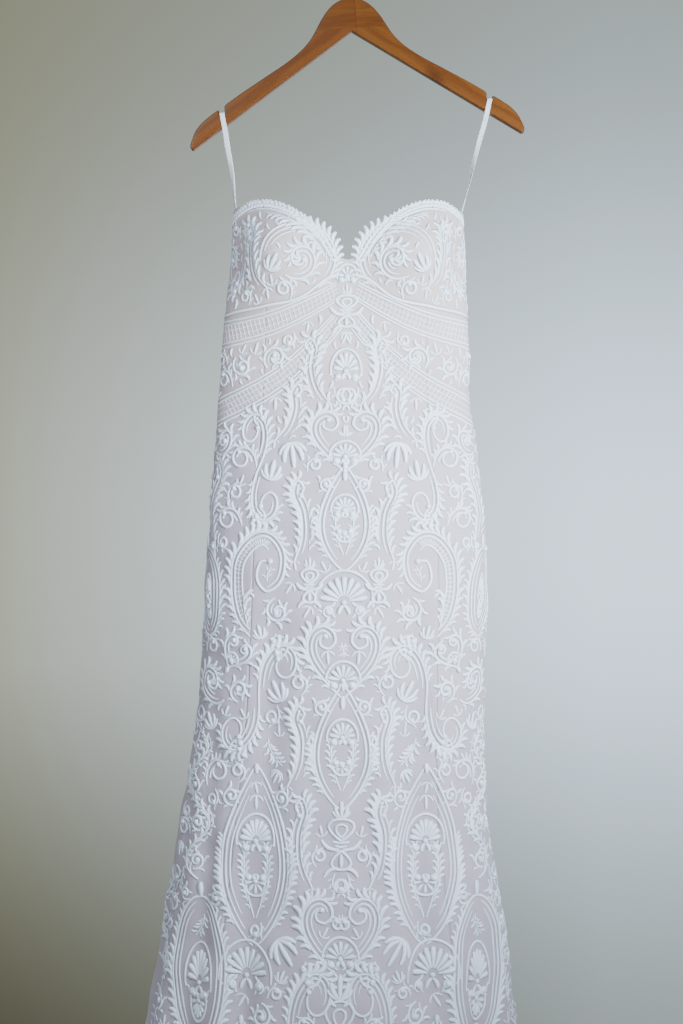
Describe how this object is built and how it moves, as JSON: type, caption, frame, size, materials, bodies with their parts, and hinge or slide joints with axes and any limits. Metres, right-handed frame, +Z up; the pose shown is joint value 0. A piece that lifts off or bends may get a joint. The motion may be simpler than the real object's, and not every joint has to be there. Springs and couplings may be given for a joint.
{
  "type": "strapless lace gown on a wooden hanger",
  "caption": "Full-length strapless sweetheart gown with scroll lace over a blush lining, hung by two ribbon loops from a notched wooden hanger.",
  "frame": {"origin": "inside top of the hanger's hook, where it sits on a rail or a wall hook", "axes": "+Z up, +X to the right of someone who faces the front, front of the gown towards -Y"},
  "size_m": [0.5978, 0.4169, 1.7138],
  "materials": {
    "lining": "matt blush satin lining under fine tulle",
    "lace": "soft white corded lace",
    "ribbon": "white satin ribbon",
    "wood": "orange-brown varnished wood",
    "steel": "bright plated steel"
  },
  "bodies": {
    "gown": {"gore": "lining", "cup_left": "lining", "cup_right": "lining", "front_panel": "lining", "side_front_left": "lining", "side_front_right": "lining", "side_back_left": "lining", "side_back_right": "lining", "centre_back_left": "lining", "centre_back_right": "lining", "lace_front_bodice": "lace", "lace_front_middle": "lace", "lace_front_skirt": "lace", "lace_back_left": "lace", "lace_back_right": "lace", "lace_back_skirt": "lace", "hanger_loop_left": "ribbon", "hanger_loop_right": "ribbon", "hanger_wood": "wood", "hanger_hook": "steel", "zip_slider": "steel"},
    "zip_pull": {"zip_pull": "steel"}
  },
  "joints": [
    {"name": "zip_pull_hinge", "type": "hinge", "parent": "gown", "child": "zip_pull", "pos_m": [-0.00139, 0.07472, -0.42498], "axis": [1, 0, 0], "range_deg": [0, 150]}
  ]
}
